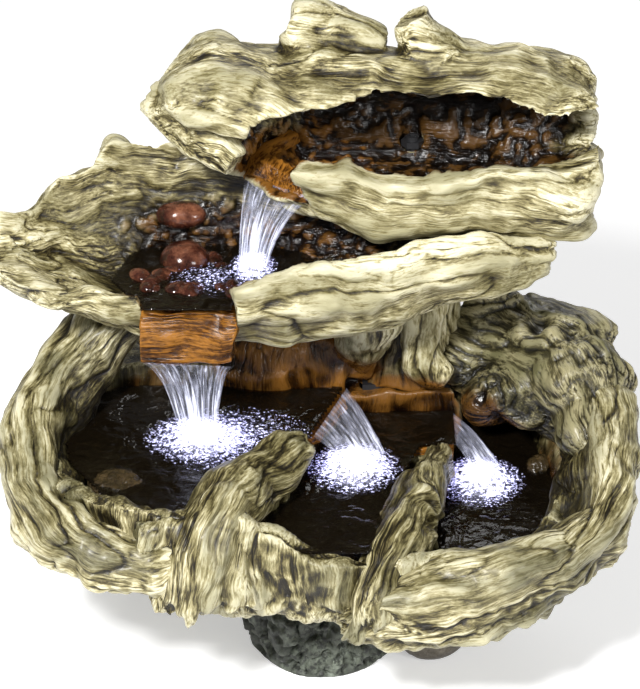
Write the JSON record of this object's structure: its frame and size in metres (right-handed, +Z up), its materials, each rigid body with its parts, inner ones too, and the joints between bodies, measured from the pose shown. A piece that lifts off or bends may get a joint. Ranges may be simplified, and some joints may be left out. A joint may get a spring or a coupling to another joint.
{
  "type": "garden fountain",
  "caption": "Log cascade fountain: two stacked hollow driftwood logs spill into a rooted three-pool basin on a boulder foot, with a hidden pump and underwater lights.",
  "frame": {"origin": "on the boulder foot's flat sole, below the middle of the basin", "axes": "+X to the right of the front, +Y to the back, +Z up"},
  "size_m": [0.6039, 0.4428, 0.6146],
  "materials": {
    "driftwood": "satin",
    "driftwood_grey": "satin",
    "lip_brown": "wet gloss",
    "lava_rock": "pitted",
    "river_stone": "smooth",
    "pebble_red": "wet gloss",
    "pebble_brown": "wet gloss",
    "steel": "brushed",
    "black_plastic": "satin",
    "door_brown": "satin",
    "black_rubber": "matt",
    "rotor_white": "satin",
    "ceramic_white": "polished",
    "clear_hose": "clear",
    "board_green": "matt",
    "lens_clear": "clear"
  },
  "bodies": {
    "fountain": {"lower_basin": "driftwood", "left_prop_log": "driftwood", "right_rim_log": "driftwood", "left_divider_root": "driftwood", "right_divider_root": "driftwood", "spur_root": "driftwood", "middle_log": "driftwood", "upper_log": "driftwood", "right_back_stump": "driftwood_grey", "rear_trunk": "driftwood_grey", "upper_spill_lip": "lip_brown", "middle_spill_lip": "lip_brown", "left_pool_lip": "lip_brown", "centre_pool_lip": "lip_brown", "boulder_foot": "lava_rock", "side_stones": "river_stone", "bowl_pebbles": "pebble_red", "pool_stones": "pebble_brown", "tier_dowels": "steel", "catch_plate": "steel", "hinge_pin": "steel", "frame_knuckles": "steel", "hose_clips": "steel", "pump_well": "black_plastic", "sump_screen": "black_plastic", "pump_body": "black_plastic", "pump_volute": "black_plastic", "pump_cover": "black_plastic", "dial_cap": "black_plastic", "pump_outlet": "black_plastic", "inlet_spigot": "black_plastic", "inlet_nut": "black_plastic", "light_housings": "black_plastic", "door_frame": "door_brown", "cable_grommet": "black_rubber", "pump_feet": "black_rubber", "light_seals": "black_rubber", "pump_shaft": "ceramic_white", "riser_hose": "clear_hose", "light_boards": "board_green", "light_lenses": "lens_clear"},
    "impeller": {"pump_impeller": "rotor_white"},
    "flow_dial": {"flow_dial": "black_plastic"},
    "access_door": {"access_door": "door_brown", "door_magnet": "steel", "door_knob": "door_brown", "door_knuckle": "steel"},
    "drain_plug": {"drain_plug": "black_rubber"}
  },
  "joints": [
    {"name": "impeller_spin", "type": "hinge", "parent": "fountain", "child": "impeller", "pos_m": [0.088, 0.112, 0.126], "axis": [0, 1, 0], "continuous": true},
    {"name": "flow_dial_turn", "type": "hinge", "parent": "fountain", "child": "flow_dial", "pos_m": [0.088, 0.092, 0.126], "axis": [0, 1, 0], "range_deg": [0, 45]},
    {"name": "access_door_swing", "type": "hinge", "parent": "fountain", "child": "access_door", "pos_m": [0.046, 0.1854, 0.27], "axis": [0, 0, 1], "range_deg": [0, 105]},
    {"name": "drain_plug_pull", "type": "slide", "parent": "fountain", "child": "drain_plug", "axis": [0, 1, 0], "range_m": [0, 0.08]}
  ]
}
